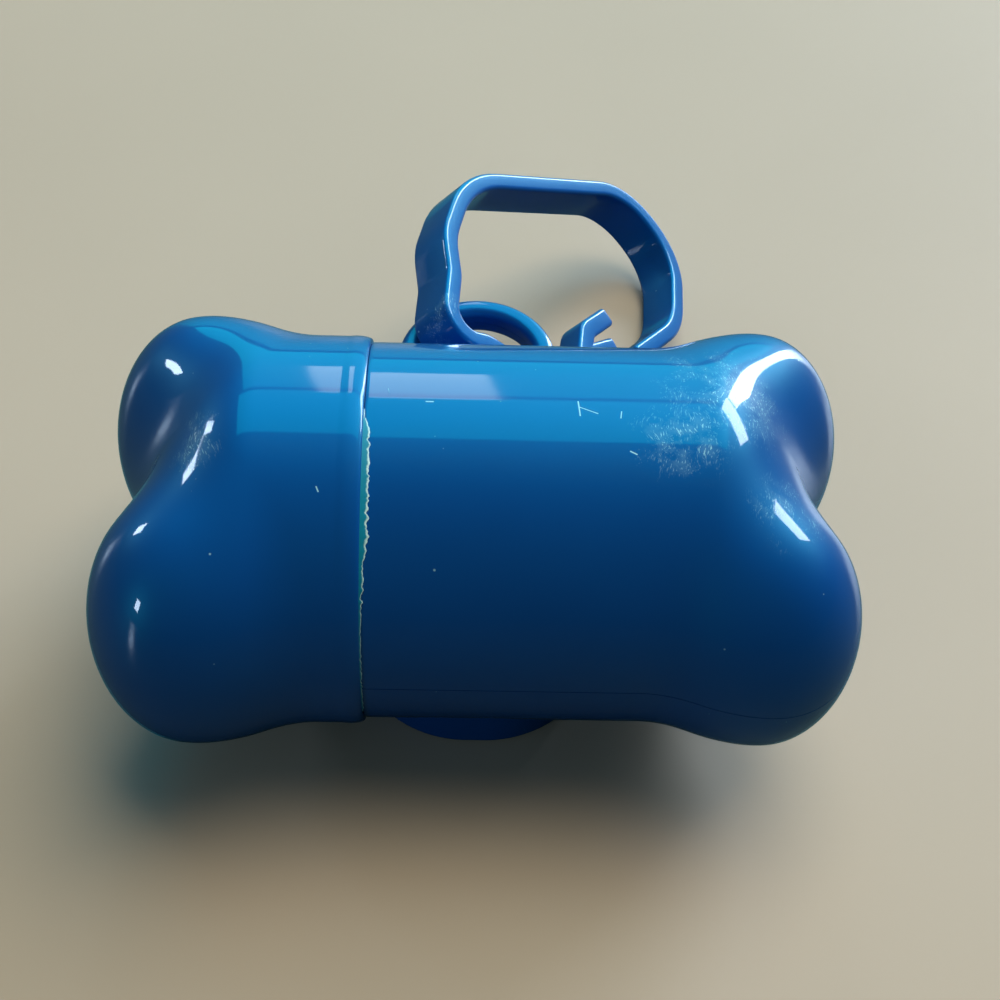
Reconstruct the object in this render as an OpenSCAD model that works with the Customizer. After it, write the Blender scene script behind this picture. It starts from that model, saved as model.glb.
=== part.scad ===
// Bone-shaped holder for a roll of dog waste bags, lying on its dispensing side.
// Right in the photograph is +X, away from the camera is +Y, up is +Z.
// The origin is on the table, under the middle of the oval dispensing boss.
// All sizes are in millimetres.

/* [Bone] */
// Distance from the middle to where the waist starts to round over.
waist_half = 22; // [16:0.5:34]
// How far the rounded end of the waist bulges past that.
end_reach = 11.7; // [6:0.1:18]
// Distance from the middle to a lobe's centre, along the bone.
lobe_x = 29; // [22:0.1:40]
// Distance from the middle to a lobe's centre, across the bone.
lobe_y = 11.4; // [9:0.1:16]
// Half size of a lobe along the bone.
lobe_rx = 9.3; // [7:0.1:13]
// Half size of a lobe across the bone.
lobe_ry = 10.7; // [8:0.1:14]
// Half size of a lobe in height.
lobe_rz = 15; // [11:0.1:20]
// Width of the soft blend between the lobes and the waist.
blend = 5.8; // [3:0.1:9]

/* [Shells] */
// Wall of the two half shells.
wall = 1.8; // [1.2:0.1:2.6]
// Place of the joint between cap and shells, along the bone.
rim_x = -11.5; // [-16:0.1:-6]
// Length of the neck that the cap slides over.
neck_len = 8; // [5:0.5:12]
// Wall of the neck.
neck_wall = 1.5; // [1:0.1:2]
// Depth of the shoulder inside, behind the neck.
shoulder = 1.6; // [1:0.1:3]
// Radius of the locating pins between the half shells.
pin_r = 1.1; // [0.8:0.1:1.6]
// Wall round each pin's socket.
pin_wall = 1.1; // [0.8:0.1:1.6]
// Length of a locating pin above the parting plane.
pin_len = 2.4; // [1.5:0.1:4]
// Distance of a pin past its lobe's centre, along the bone.
pin_past_x = 1.5; // [0:0.1:3]
// Distance of a pin past its lobe's centre, across the bone.
pin_past_y = 2; // [0:0.1:3]
// Gap between a pin and its socket.
pin_gap = 0.1; // [0.05:0.01:0.2]

/* [Cap] */
// How far the cap stands proud of the waist.
cap_step = 0.6; // [0.3:0.05:1.2]
// Wall of the cap at its mouth.
cap_wall = 2; // [1.4:0.1:2.6]
// Gap between the neck and the cap.
cap_gap = 0.2; // [0.1:0.05:0.4]
// Height of the friction bead round the neck.
bead_h = 0.12; // [0.05:0.01:0.18]
// Width of the rounded lip at the cap's mouth.
lip_w = 1.6; // [0.8:0.1:3]
// How far the lip turns in at the mouth.
lip_drop = 0.35; // [0.1:0.05:0.5]

/* [Bag port] */
// Radius of the two ends of the oval boss that the bags leave by, and that the holder lies on.
boss_r = 12.7; // [9:0.1:15]
// How much longer than wide the boss is.
boss_long = 2; // [0:0.1:6]
// Gap between the boss's flat left side and the cap's mouth.
boss_gap = 0.3; // [0.1:0.1:1]
// Height of the boss below the waist.
boss_h = 2.6; // [1.5:0.1:5]
// Rounding of the boss's outer edge.
boss_edge = 0.8; // [0.4:0.1:1.4]
// Length of the bag slot, along the bone.
slot_len = 14; // [9:0.5:16]
// Width of the bag slot.
slot_w = 6.4; // [5:0.1:8]
// Width of the rounded lead-in at both ends of the slot.
slot_flare = 0.7; // [0.3:0.1:1.2]

/* [Lug] */
// Place of the lug's middle along the bone.
lug_x = -0.4; // [-6:0.1:6]
// Distance from the waist to the centre of the lug's arch.
lug_rise = 4; // [2:0.1:6]
// Radius of the eye in the lug.
eye_r = 6.5; // [5:0.1:9]
// Thickness of the lug's bar, seen from above.
lug_bar = 2.4; // [1.6:0.1:3.2]
// Height of the lug's bar.
lug_h = 3.6; // [3:0.1:5]
// Rounding of the lug's edges.
lug_edge = 0.9; // [0.4:0.1:1.1]

/* [Clip] */
// Width of the clip's loop inside its own plane, past the lug.
loop_w = 38.6; // [34:0.1:46]
// Height of the clip's loop inside its own plane, past the lug.
loop_h = 40.4; // [36:0.1:46]
// Width of the flat band that the clip is made of.
band_w = 5.7; // [4:0.1:6.5]
// Thickness of the band.
band_t = 2.2; // [1.6:0.1:2.6]
// Chamfer along the band's edges.
band_edge = 0.4; // [0.2:0.05:0.6]
// Width of the springy tongue.
tongue_w = 4; // [2.6:0.1:4.6]
// Thickness of the tongue.
tongue_t = 2.5; // [1.8:0.1:2.8]
// Gap where the tongue's flexing root meets the frame.
root_gap = 0.12; // [0.05:0.01:0.3]
// Slope of the clip towards its right end, as it lies on the table.
clip_pitch = 40.9; // [30:0.1:46]
// Slope of the clip away from the camera.
clip_roll = 3; // [0:0.1:8]
// Height of the clip's near face above the parting plane, where it crosses the lug.
clip_over = 6.8; // [5.5:0.1:9]

/* [Bag roll] */
// Radius of the wound bags. The waist, the neck and the cap are sized round it.
roll_r = 15.2; // [12:0.1:18]
// Room between the wound bags and the neck's bore.
roll_room = 1.2; // [0.6:0.1:3]
// Length of the roll.
roll_len = 50; // [40:0.5:54]
// Radius of the cardboard core.
core_r = 6; // [5:0.1:9]
// Wall of the core.
core_wall = 0.8; // [0.5:0.1:1.4]
// Gap under the roll, where it lies in the neck.
roll_gap = 0.2; // [0.1:0.05:0.4]
// Width of the gathered first bag where it goes through the slot.
tail_w = 9; // [5:0.5:12]
// Thickness of the folded film of the first bag.
tail_t = 0.4; // [0.2:0.05:0.8]
// Gap between the first bag and the side of the slot.
tail_gap = 0.4; // [0.2:0.05:0.8]
// Height of the first bag's end above the table.
tail_end = 0.6; // [0.2:0.1:2]
// Gap between the first bag and the roll that it leaves.
tail_lift = 0.15; // [0.05:0.01:0.3]

/* [Hidden] */

$fn = 64;
neck_bore = roll_r + roll_room;
neck_r = neck_bore + neck_wall;
cap_bore = neck_r + cap_gap;
waist_r = cap_bore + cap_wall - cap_step;
axis_z = waist_r + boss_h;
roll_drop = roll_room - roll_gap;
lug_y = waist_r + lug_rise;
lug_mid_r = eye_r + lug_bar / 2;
skin_sides = 48;
room_sides = 36;
fan_x = lobe_x - 11;
blend_x = lobe_x - lobe_rx - blend;
far_reach = 60;
probe = [4, 40];
slit = 0.01;
shell_blue = [0.03, 0.42, 0.68];
cap_blue = [0.04, 0.46, 0.72];
clip_blue = [0.05, 0.5, 0.8];
film_green = [0.25, 0.3, 0.3];
card_brown = [0.7, 0.55, 0.38];

// Signed gap from a point to the round waist with its bulging ends.
function waist_gap(p) =
    let (past = max(abs(p.x) - waist_half, 0) * waist_r / end_reach)
    norm([past, p.y, p.z]) - waist_r;

// Signed gap from a point to the nearest of the four lobes, which are ellipsoids.
function lobe_gap(p) =
    let (s = [(abs(p.x) - lobe_x) / lobe_rx, (abs(p.y) - lobe_y) / lobe_ry, p.z / lobe_rz])
    let (slope = norm([s.x / lobe_rx, s.y / lobe_ry, s.z / lobe_rz]))
    norm(s) * (norm(s) - 1) / max(slope, 0.000001);

// The bone is the lobes and the waist run together by a soft blend.
function bone_gap(p) =
    let (a = lobe_gap(p), b = waist_gap(p))
    let (share = max(min(0.5 + 0.5 * (a - b) / blend, 1), 0))
    a * (1 - share) + b * share - blend * share * (1 - share);

// Distance along a ray from o to the bone's skin moved out by skin, found by halving.
function skin_hit(o, d, skin, near, far, steps) =
    let (mid = (near + far) / 2)
    steps == 0 ? mid
        : bone_gap(o + d * mid) < skin ? skin_hit(o, d, skin, mid, far, steps - 1)
        : skin_hit(o, d, skin, near, mid, steps - 1);

// Where the rings of the skin stand: each has a centre on the axis and an angle from it.
function ring_places(start, waist_steps, fan_steps) = concat(
    [for (i = [0:waist_steps]) [max(start, blend_x) + (fan_x - max(start, blend_x)) * i / waist_steps, 90]],
    [for (i = [1:fan_steps - 1]) [fan_x, 90 - 90 * i / fan_steps]]);

// One ring of points on the skin.
function skin_ring(place, skin, sides) = [for (i = [0:sides - 1])
    let (turn = 360 * i / sides)
    let (o = [place[0], 0, 0])
    let (d = [cos(place[1]), sin(place[1]) * cos(turn), sin(place[1]) * sin(turn)])
    o + d * skin_hit(o, d, skin, probe[0], probe[1], 18)];

// A solid between rings of points, closed by the first ring and by a last single point.
module ring_solid(rings, tip) {
    sides = len(rings[0]);
    last = len(rings) - 1;
    points = concat([for (ring = rings) for (p = ring) p], [tip]);
    sleeve = [for (j = [0:last - 1]) for (i = [0:sides - 1])
        let (k = (i + 1) % sides)
        for (side = [0, 1])
            side == 0 ? [j * sides + i, (j + 1) * sides + k, j * sides + k]
                : [j * sides + i, (j + 1) * sides + i, (j + 1) * sides + k]];
    nose = [for (i = [0:sides - 1]) [last * sides + i, (last + 1) * sides, last * sides + (i + 1) % sides]];
    polyhedron(points, concat([[for (i = [0:sides - 1]) i]], sleeve, nose));
}

// Half of the bone from a plane at start to its right end, with the skin moved out by skin.
// The mouth is a list of extra rings before the first, each a place and a radius.
module bone_end(start, skin, sides, waist_steps, fan_steps, mouth = []) {
    places = ring_places(start, waist_steps, fan_steps);
    straight = max(start, blend_x) > start ? [[start, 90]] : [];
    mouth_rings = [for (m = mouth) [for (i = [0:sides - 1])
        [m[0], m[1] * cos(360 * i / sides), m[1] * sin(360 * i / sides)]]];
    tip = [fan_x + skin_hit([fan_x, 0, 0], [1, 0, 0], skin, probe[0], probe[1], 18), 0, 0];
    ring_solid(concat(mouth_rings, [for (place = concat(len(mouth) > 0 ? [] : straight, places))
        skin_ring(place, skin, sides)]), tip);
}

// A flat bar section with rounded corners, drawn from circles so that it stays exact.
module bar_section(across, high, round_r) {
    square([across - 2 * round_r, high], center = true);
    square([across, high - 2 * round_r], center = true);
    for (sx = [-1, 1], sy = [-1, 1])
        translate([sx * (across / 2 - round_r), sy * (high / 2 - round_r)])
            circle(r = round_r, $fn = 24);
}

// The lug: an arch on two straight legs that sink into the waist's wall.
module lug() {
    translate([lug_x, lug_y, 0])
        rotate_extrude(angle = 180)
            translate([lug_mid_r, 0])
                bar_section(lug_bar, lug_h, lug_edge);
    for (side = [-1, 1])
        translate([lug_x + side * lug_mid_r, lug_y, 0])
            rotate([90, 0, 0])
                linear_extrude(lug_rise + wall / 2)
                    bar_section(lug_bar, lug_h, lug_edge);
}

// A round pillar in each right-hand lobe, up to the parting plane, kept inside the wall.
module pin_pillars(top, radius) {
    for (side = [-1, 1])
        translate([lobe_x + pin_past_x, side * (lobe_y + pin_past_y), top])
            cylinder(r = radius, h = far_reach, $fn = 24);
}

// The hollow outside shape of the shells: the bone's right part and the neck.
module shell_outside() {
    bone_end(rim_x, 0, skin_sides, 3, 18);
    translate([rim_x - neck_len, 0, 0])
        rotate([0, 90, 0])
            cylinder(r = neck_r, h = neck_len + 1);
    translate([rim_x - neck_len * 0.6, 0, 0])
        rotate_extrude_along_x()
            translate([neck_r - bead_h, 0])
                circle(r = bead_h * 2, $fn = 16);
}

// Turns a profile round the X axis.
module rotate_extrude_along_x() {
    rotate([0, 90, 0])
        rotate_extrude()
            children();
}

// The room for the roll: the bone less its wall, and the bore through the neck.
module shell_room() {
    bone_end(rim_x + shoulder, -wall, room_sides, 2, 12);
    translate([rim_x - neck_len - 1, 0, 0])
        rotate([0, 90, 0])
            cylinder(r = neck_bore, h = neck_len + shoulder + 2);
}

// Keeps what is above the parting plane, or below it with side = -1.
module one_side(side) {
    intersection() {
        children();
        translate([-far_reach, -far_reach, side > 0 ? 0 : -far_reach])
            cube([2 * far_reach, 2 * far_reach, far_reach]);
    }
}

// The oval boss under the belly, down to the table. Its two ends are cut flat, clear of the cap.
module boss() {
    half = -rim_x - boss_gap;
    translate([0, 0, -axis_z])
        intersection() {
            union() {
                for (side = [-1, 1])
                    translate([side * boss_long / 2, 0, 0])
                        rotate_extrude()
                            boss_profile();
                for (side = [0, 1])
                    mirror([0, side, 0])
                        translate([-boss_long / 2, 0, 0])
                            rotate([90, 0, 90])
                                linear_extrude(boss_long)
                                    boss_profile();
            }
            translate([-half, -far_reach, 0])
                cube([2 * half, 2 * far_reach, far_reach]);
        }
}

// Half of the boss's section, with its outer edge rounded. It ends inside the waist's wall.
module boss_profile() {
    high = axis_z - sqrt(waist_r * waist_r - boss_r * boss_r) + wall / 3;
    square([boss_r - boss_edge, high]);
    translate([0, boss_edge])
        square([boss_r, high - boss_edge]);
    translate([boss_r - boss_edge, boss_edge])
        circle(r = boss_edge, $fn = 32);
}

// A slot with round ends, wider at its mouth and at its inner end.
module slot_prism(grow_low, grow_high, h) {
    hull()
        for (side = [-1, 1])
            translate([side * (slot_len - slot_w) / 2, 0, 0])
                cylinder(r1 = slot_w / 2 + grow_low, r2 = slot_w / 2 + grow_high, h = h, $fn = 32);
}

// The slot that the bags are pulled through, flared where it meets the table.
module bag_slot() {
    span = boss_h + wall + 4;
    translate([0, 0, -axis_z - 1])
        slot_prism(0, 0, span + 1);
    translate([0, 0, -axis_z - slit])
        slot_prism(slot_flare, 0, slot_flare);
}

// The half shell above the parting plane, with the upper half of the lug.
module upper_shell() {
    color(shell_blue)
        translate([0, 0, axis_z]) {
            difference() {
                union() {
                    one_side(1)
                        shell_outside();
                    one_side(1)
                        lug();
                }
                shell_room();
            }
            intersection() {
                bone_end(lobe_x - lobe_rx, -wall / 2, 24, 2, 8);
                difference() {
                    pin_pillars(0, pin_r + pin_wall);
                    pin_pillars(pin_len + 2 * pin_gap - far_reach, pin_r + pin_gap);
                }
            }
        }
}

// The half shell below the parting plane, with the boss, the slot and the locating pins.
module lower_shell() {
    color(shell_blue)
        translate([0, 0, axis_z]) {
            difference() {
                union() {
                    one_side(-1)
                        shell_outside();
                    one_side(-1)
                        lug();
                    boss();
                }
                shell_room();
                bag_slot();
            }
            intersection() {
                bone_end(lobe_x - lobe_rx, -wall / 2, 24, 2, 8);
                translate([0, 0, -far_reach])
                    pin_pillars(0, pin_r + pin_wall);
            }
            translate([0, 0, pin_len - far_reach])
                intersection() {
                    pin_pillars(0, pin_r);
                    translate([0, 0, far_reach - pin_len - 1])
                        cylinder(r = far_reach, h = pin_len + 1);
                }
        }
}

// The cap's skin rings at its mouth, where the lip rolls in.
function lip_rings(steps) = [for (i = [0:steps])
    let (t = i / steps)
    [-rim_x + lip_w * t, waist_r + cap_step - lip_drop * (1 - sqrt(1 - (1 - t) * (1 - t)))]];

// The cap is the bone's other end. It pushes over the neck and comes off for a new roll.
module end_cap() {
    color(cap_blue)
        translate([0, 0, axis_z])
            mirror([1, 0, 0])
                difference() {
                    bone_end(-rim_x, cap_step, skin_sides, 3, 18, lip_rings(4));
                    translate([-rim_x - 1, 0, 0])
                        rotate([0, 90, 0])
                            cylinder(r = cap_bore, h = neck_len + 1.5);
                    intersection() {
                        bone_end(-rim_x + 1, -wall, room_sides, 2, 12);
                        translate([-rim_x, 0, 0])
                            rotate([0, 90, 0])
                                cylinder(r = cap_bore, h = far_reach);
                    }
                }
}

// The wound bags, lying in the bottom of the neck's bore.
module bag_roll() {
    color(film_green)
        translate([-roll_len / 2, 0, axis_z - roll_drop])
            rotate([0, 90, 0])
                difference() {
                    cylinder(r = roll_r, h = roll_len);
                    translate([0, 0, -1])
                        cylinder(r = core_r, h = roll_len + 2);
                }
}

// The cardboard tube that the bags are wound on.
module roll_core() {
    color(card_brown)
        translate([-roll_len / 2, 0, axis_z - roll_drop])
            rotate([0, 90, 0])
                difference() {
                    cylinder(r = core_r, h = roll_len);
                    translate([0, 0, -1])
                        cylinder(r = core_r - core_wall, h = roll_len + 2);
                }
}

// Unit vector.
function unit(v) = v / norm(v);

// Points of the round that replaces corner p between a and b.
function fillet(a, p, b, r) =
    let (u = unit(a - p), v = unit(b - p), half = acos(u * v) / 2)
    let (centre = p + unit(u + v) * r / sin(half))
    let (s = p + u * r / tan(half) - centre, e = p + v * r / tan(half) - centre)
    let (from = atan2(s.y, s.x), swing = (atan2(e.y, e.x) - from + 540) % 360 - 180)
    let (steps = max(2, ceil(abs(swing) / 12)))
    [for (i = [0:steps]) centre + r * [cos(from + swing * i / steps), sin(from + swing * i / steps)]];

// A path through corners, each [x, y, radius], with its inner corners rounded.
function rounded_path(c) = concat(
    [[c[0].x, c[0].y]],
    [for (i = [1:len(c) - 2])
        for (p = fillet([c[i - 1].x, c[i - 1].y], [c[i].x, c[i].y], [c[i + 1].x, c[i + 1].y], c[i][2])) p],
    [[c[len(c) - 1].x, c[len(c) - 1].y]]);

// Direction across the path at point i, long enough to keep a bend's thickness.
function across(path, i) =
    let (n = len(path) - 1)
    let (a = unit(path[max(i, 1)] - path[max(i, 1) - 1]), b = unit(path[min(i + 1, n)] - path[min(i, n - 1)]))
    let (m = unit(a + b))
    [-m.y, m.x] / max(m * a, 0.5);

// The eight corners of a flat band's section with chamfered edges: across, along the axis.
function band_section(t, w, c) = [
    [t / 2 - c, 0], [t / 2, c], [t / 2, w - c], [t / 2 - c, w],
    [c - t / 2, w], [-t / 2, w - c], [-t / 2, c], [c - t / 2, 0]];

// A band swept along a flat path. Its near face is at z = 0 and it reaches down to -w.
module band(path, t, w, c, z = 0) {
    section = band_section(t, w, c);
    sides = len(section);
    last = len(path) - 1;
    points = [for (i = [0:last]) for (s = section)
        let (p = path[i] + across(path, i) * s.x)
        [p.x, p.y, z - w + s.y]];
    sleeve = [for (i = [0:last - 1]) for (k = [0:sides - 1])
        let (m = (k + 1) % sides)
        for (side = [0, 1])
            side == 0 ? [i * sides + k, (i + 1) * sides + m, i * sides + m]
                : [i * sides + k, (i + 1) * sides + k, (i + 1) * sides + m]];
    first_end = [for (k = [0:sides - 1]) k];
    last_end = [for (k = [sides - 1:-1:0]) last * sides + k];
    polyhedron(points, concat([first_end], sleeve, [last_end]));
}

// Where the clip's tongue leaves the frame, past the lug's eye, in the clip's own plane.
tongue_root = [13.6, 0.2];
// Tip of the frame, which the tongue's notch closes on.
frame_tip = [loop_w - 7.8, loop_h - 26.9];

// The frame, from the tongue's root under the lug round the loop to its own tip.
frame_corners = [
    [tongue_root.x, tongue_root.y, 0],
    [6, 0.3, 4],
    [0.2, -2.4, 3.2],
    [0.55, 7.2, 5],
    [-0.6, 12.5, 9],
    [1.6, 23, 14],
    [loop_w - 10, loop_h + 0.4, 9],
    [loop_w, loop_h - 5, 9],
    [loop_w - 0.3, loop_h - 17.5, 10],
    [frame_tip.x, frame_tip.y, 0]];

// The tongue and its long upper prong.
tongue_corners = [
    [tongue_root.x, tongue_root.y, 0],
    [frame_tip.x - 8.9, frame_tip.y - 9.2, 4],
    [frame_tip.x - 8.2, frame_tip.y - 0.6, 3],
    [frame_tip.x - 4.4, frame_tip.y + 4.2, 0]];

// The short lower prong of the notch.
prong_corners = [
    [frame_tip.x - 8.3, frame_tip.y - 4.4, 0],
    [frame_tip.x - 5.7, frame_tip.y - 2.1, 8],
    [frame_tip.x - 3.2, frame_tip.y + 0.1, 0]];

// Stands the clip's own plane where the clip lies on the lug and the table.
module clip_place() {
    translate([lug_x - 3.2, lug_y + 0.8, axis_z + clip_over])
        rotate([clip_roll, clip_pitch, 0])
            children();
}

// The frame of the spring clip, with a hollow that its tongue turns in.
module clip_frame() {
    color(clip_blue)
        clip_place()
            difference() {
                band(rounded_path(frame_corners), band_t, band_w, band_edge);
                translate([tongue_root.x, tongue_root.y, -band_w - 1])
                    cylinder(r = tongue_t / 2 + root_gap, h = band_w + 2, $fn = 32);
            }
}

// The springy tongue with its two prongs, which close round the frame's tip.
module clip_tongue() {
    color(clip_blue)
        clip_place() {
            inset = (band_w - tongue_w) / 2;
            band(rounded_path(tongue_corners), tongue_t, tongue_w, band_edge, -inset);
            band(rounded_path(prong_corners), tongue_t - 0.4, tongue_w, band_edge, -inset);
            translate([tongue_root.x, tongue_root.y, -inset - tongue_w])
                cylinder(r = tongue_t / 2, h = tongue_w, $fn = 32);
        }
}

// The first bag comes off the bottom of the roll and goes down one side of the slot.
module first_bag() {
    lane_y = slot_w / 2 - tail_gap - tail_t / 2;
    r = roll_r + tail_lift + tail_t / 2;
    bend = 24;
    hug = [for (i = [0:6])
        let (turn = -90 - bend + (bend - 2) * i / 6)
        [r * cos(turn), r * sin(turn) - roll_drop]];
    drop = [for (i = [0:5])
        let (turn = 90 - 90 * i / 5)
        [lane_y * cos(turn), lane_y * (sin(turn) - 1) - roll_drop - r]];
    line = concat(hug, drop, [[lane_y, tail_end - axis_z]]);
    half = tail_t / 2;
    n = len(line) - 1;
    color(film_green)
        translate([-tail_w / 2, 0, axis_z])
            rotate([90, 0, 90])
                linear_extrude(tail_w)
                    polygon(concat(
                        [for (i = [0:n]) line[i] + across(line, i) * half],
                        [for (i = [n:-1:0]) line[i] - across(line, i) * half]));
}

upper_shell();
lower_shell();
end_cap();
bag_roll();
roll_core();
first_bag();
clip_frame();
clip_tongue();
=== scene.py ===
# %% [markdown]
# # A bone-shaped holder for dog waste bags
# The real object is a small moulded holder: two half shells, a push-on end cap, a lug with a
# spring clip, and a roll of bags inside. This lesson dresses the finished CAD model of it.
# The CAD frame is loaded first, because every piece is made round it and none of it is moved.

import math

import bmesh
import bpy
import numpy as np
from mathutils import Matrix, Vector


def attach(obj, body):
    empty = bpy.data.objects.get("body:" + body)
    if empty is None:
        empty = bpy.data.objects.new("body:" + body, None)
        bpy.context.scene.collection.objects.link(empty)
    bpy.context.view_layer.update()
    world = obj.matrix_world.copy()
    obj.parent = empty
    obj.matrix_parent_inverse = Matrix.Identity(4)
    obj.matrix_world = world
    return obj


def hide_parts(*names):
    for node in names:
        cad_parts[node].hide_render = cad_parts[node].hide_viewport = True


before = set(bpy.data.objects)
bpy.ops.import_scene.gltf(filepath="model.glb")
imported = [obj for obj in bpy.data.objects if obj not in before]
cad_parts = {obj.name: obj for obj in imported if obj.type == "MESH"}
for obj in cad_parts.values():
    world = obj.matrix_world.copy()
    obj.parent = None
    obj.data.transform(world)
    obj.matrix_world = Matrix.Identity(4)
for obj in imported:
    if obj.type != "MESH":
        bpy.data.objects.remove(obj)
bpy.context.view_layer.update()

# %% [markdown]
# ## Sizes
# The bone is one smooth form: a round waist with bulging ends, run into four egg-shaped lobes by
# a soft blend. The same values as in the CAD model give the skin here, so that the fine skin
# lies on the CAD one. All sizes are in millimetres and are turned to metres at the very end.

# %% The holder's sizes, in millimetres
MM = 1000.0
WAIST_R = 19.5
WAIST_HALF = 22.0
END_REACH = 11.7
LOBE_AT = np.array([29.0, 11.4, 0.0])
LOBE_HALF = np.array([9.3, 10.7, 15.0])
BLEND = 5.8
AXIS_Z = 22.1
RIM_X = -11.5
WALL = 1.8
NECK_R = 17.9
NECK_BORE = 16.4
NECK_LEN = 8.0
NECK_EDGE = 0.35
SHOULDER = 1.6
BEAD_H = 0.12
BEAD_HALF = 0.6
CAP_STEP = 0.6
CAP_BORE = 18.1
FAN_X = 18.0
LAST_LEAN = 0.35
BLEND_X = 13.9
print("bone", 2 * (WAIST_HALF + END_REACH), "mm long between its cleft ends, waist", 2 * WAIST_R, "mm")

# %% [markdown]
# ## One helper that grows a skin ring by ring
# A moulded shell is a closed skin: it runs from the inside of the tip to the mouth, round the
# edge and back along the outside. It could be sculpted or subdivided from a rough cage, but the
# real form follows a rule, so a circle is extruded again and again and each new ring is set on
# the form. The number kept in each corner says which corner it came from.

# %% Grow rings with the extrude operator
def grow_rings(rings, close_start=True, close_end=True):
    """A bmesh that starts as a circle and is extruded through rings of points."""
    bm = bmesh.new()
    turn = bm.verts.layers.int.new("turn")
    count = len(rings[0])
    for i, v in enumerate(bmesh.ops.create_circle(bm, segments=count, radius=1.0)["verts"]):
        v[turn] = i
        v.co = Vector(rings[0][i])
    edges = list(bm.edges)
    first = list(bm.edges)
    for ring in rings[1:]:
        grown = bmesh.ops.extrude_edge_only(bm, edges=edges)["geom"]
        fresh = {g for g in grown if isinstance(g, bmesh.types.BMVert)}
        for v in fresh:
            v.co = Vector(ring[v[turn]])
        edges = [g for g in grown if isinstance(g, bmesh.types.BMEdge)
                 and g.verts[0] in fresh and g.verts[1] in fresh]
    for wanted, loop in ((close_start, first), (close_end, edges)):
        if wanted:
            lid = bmesh.ops.edgeloop_fill(bm, edges=loop)["faces"]
            bmesh.ops.poke(bm, faces=lid)
    bmesh.ops.recalc_face_normals(bm, faces=bm.faces)
    return bm


# %% [markdown]
# A finished piece is scaled from millimetres to metres, smoothed where it bends gently and kept
# crisp where it turns sharply. Its object sits at the origin, as the CAD nodes do.

# %% Turn a bmesh into a piece that rides on a body
def make_piece(bm, name, material, body, crisp=38.0, replaces=()):
    """Writes the bmesh to a mesh object and hands it to the frame."""
    bmesh.ops.scale(bm, vec=(1 / MM, 1 / MM, 1 / MM), verts=bm.verts)
    mesh = bpy.data.meshes.new(name)
    bm.to_mesh(mesh)
    bm.free()
    mesh.shade_smooth()
    mesh.set_sharp_from_angle(angle=math.radians(crisp))
    mesh.materials.append(material)
    piece = bpy.data.objects.new(name, mesh)
    bpy.context.scene.collection.objects.link(piece)
    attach(piece, body)
    if replaces:
        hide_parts(*replaces)
    corners = MM * np.array([v.co for v in mesh.vertices])
    print(name, "is", np.round(corners.max(0) - corners.min(0), 1), "mm with", len(mesh.polygons), "faces")
    return piece


# %% [markdown]
# ## The skin of the bone
# The gap from a point to the bone is worked out for the waist and for the nearest lobe, and a
# soft minimum runs the two together. A ray from the axis is halved again and again until it
# meets the skin, which works for any amount of wall taken off.

# %% Where a ray meets the bone
def bone_gap(points):
    """Signed gap from points, given about the bone's axis, to its skin."""
    side = np.abs(points)
    past = np.maximum(side[:, 0] - WAIST_HALF, 0) * WAIST_R / END_REACH
    waist = np.sqrt(past ** 2 + side[:, 1] ** 2 + side[:, 2] ** 2) - WAIST_R
    s = (side - LOBE_AT) / LOBE_HALF
    reach = np.linalg.norm(s, axis=1)
    slope = np.maximum(np.linalg.norm(s / LOBE_HALF, axis=1), 1e-6)
    lobe = reach * (reach - 1) / slope
    share = np.clip(0.5 + 0.5 * (lobe - waist) / BLEND, 0, 1)
    return lobe * (1 - share) + waist * share - BLEND * share * (1 - share)


def skin_ring(x, angle, skin, sides, end=1):
    """One ring on the skin. Its rays lean at an angle from the bone's axis."""
    turn = np.linspace(0, 2 * math.pi, sides, endpoint=False)
    lean = math.radians(angle)
    rays = np.stack([np.full(sides, math.cos(lean)), math.sin(lean) * np.cos(turn),
                     math.sin(lean) * np.sin(turn)], axis=1)
    start = np.array([x, 0.0, 0.0])
    near, far = np.full(sides, 4.0), np.full(sides, 40.0)
    for _ in range(32):
        middle = (near + far) / 2
        inside = bone_gap(start + rays * middle[:, None]) < skin
        near, far = np.where(inside, middle, near), np.where(inside, far, middle)
    ring = start + rays * near[:, None]
    return ring * (end, 1, 1) + (0, 0, AXIS_Z)


def plain_ring(x, radius, sides, end=1):
    """A round ring about the bone's axis."""
    turn = np.linspace(0, 2 * math.pi, sides, endpoint=False)
    return np.stack([np.full(sides, end * x), radius * np.cos(turn),
                     radius * np.sin(turn) + AXIS_Z], axis=1)


def end_rings(start, skin, sides, waist_steps, fan_steps, end=1):
    """Rings from a plane across the waist to just short of the tip."""
    ahead = max(start, BLEND_X)
    places = [(x, 90.0) for x in np.linspace(ahead, FAN_X, waist_steps)]
    places += [(FAN_X, a) for a in np.linspace(90, 0, fan_steps + 1)[1:-1]]
    if start < BLEND_X:
        places.insert(0, (start, 90.0))
    places.append((FAN_X, LAST_LEAN))
    return [skin_ring(x, a, skin, sides, end) for x, a in places]


SIDES = 192
print("ring of", SIDES, "corners, about", round(2 * math.pi * WAIST_R / SIDES, 2), "mm apart at the waist")

# %% [markdown]
# ## Materials
# All the blue parts are injection-moulded polypropylene, coloured through with one pigment. It
# comes out of a polished mould with a bright gloss, lets a little light into its thin edges, and
# marks easily: pockets and keys leave fine pale scratches. Colours are written as they look on a
# screen, and one function turns them to the linear values that light is added up in.

# %% Colour and node helpers
def linear(hex_colour):
    """An sRGB hex colour as linear red, green, blue and full alpha."""
    parts = [int(hex_colour[i:i + 2], 16) / 255 for i in (1, 3, 5)]
    return tuple(c / 12.92 if c <= 0.04045 else ((c + 0.055) / 1.055) ** 2.4 for c in parts) + (1.0,)


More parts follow.
